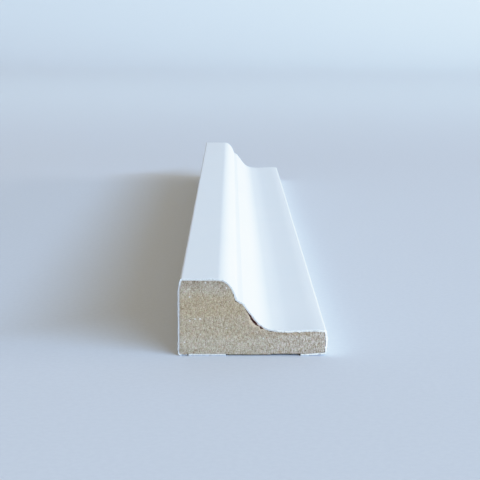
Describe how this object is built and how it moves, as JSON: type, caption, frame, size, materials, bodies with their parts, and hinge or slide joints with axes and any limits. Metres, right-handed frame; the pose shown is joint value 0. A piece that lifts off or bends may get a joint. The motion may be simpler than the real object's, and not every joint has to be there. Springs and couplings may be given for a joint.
{
  "type": "wall panel moulding",
  "caption": "Straight length of wall panel moulding: flat face, ovolo, small step, cove and thin lip, an MDF core wrapped in white foil and cut square at each end.",
  "frame": {"origin": "middle of the back, on the plane that bears on the wall", "axes": "+Y along the length from the front cut end to the far one, +X from the thick edge to the thin lip, +Z out of the wall"},
  "size_m": [0.03, 0.3, 0.0156],
  "materials": {
    "mdf": "raw saw-cut fibreboard, matte and speckled",
    "white_foil": "smooth white decorative foil, satin"
  },
  "bodies": {
    "root": {"mdf_core": "mdf", "foil_wrap": "white_foil"}
  },
  "joints": []
}
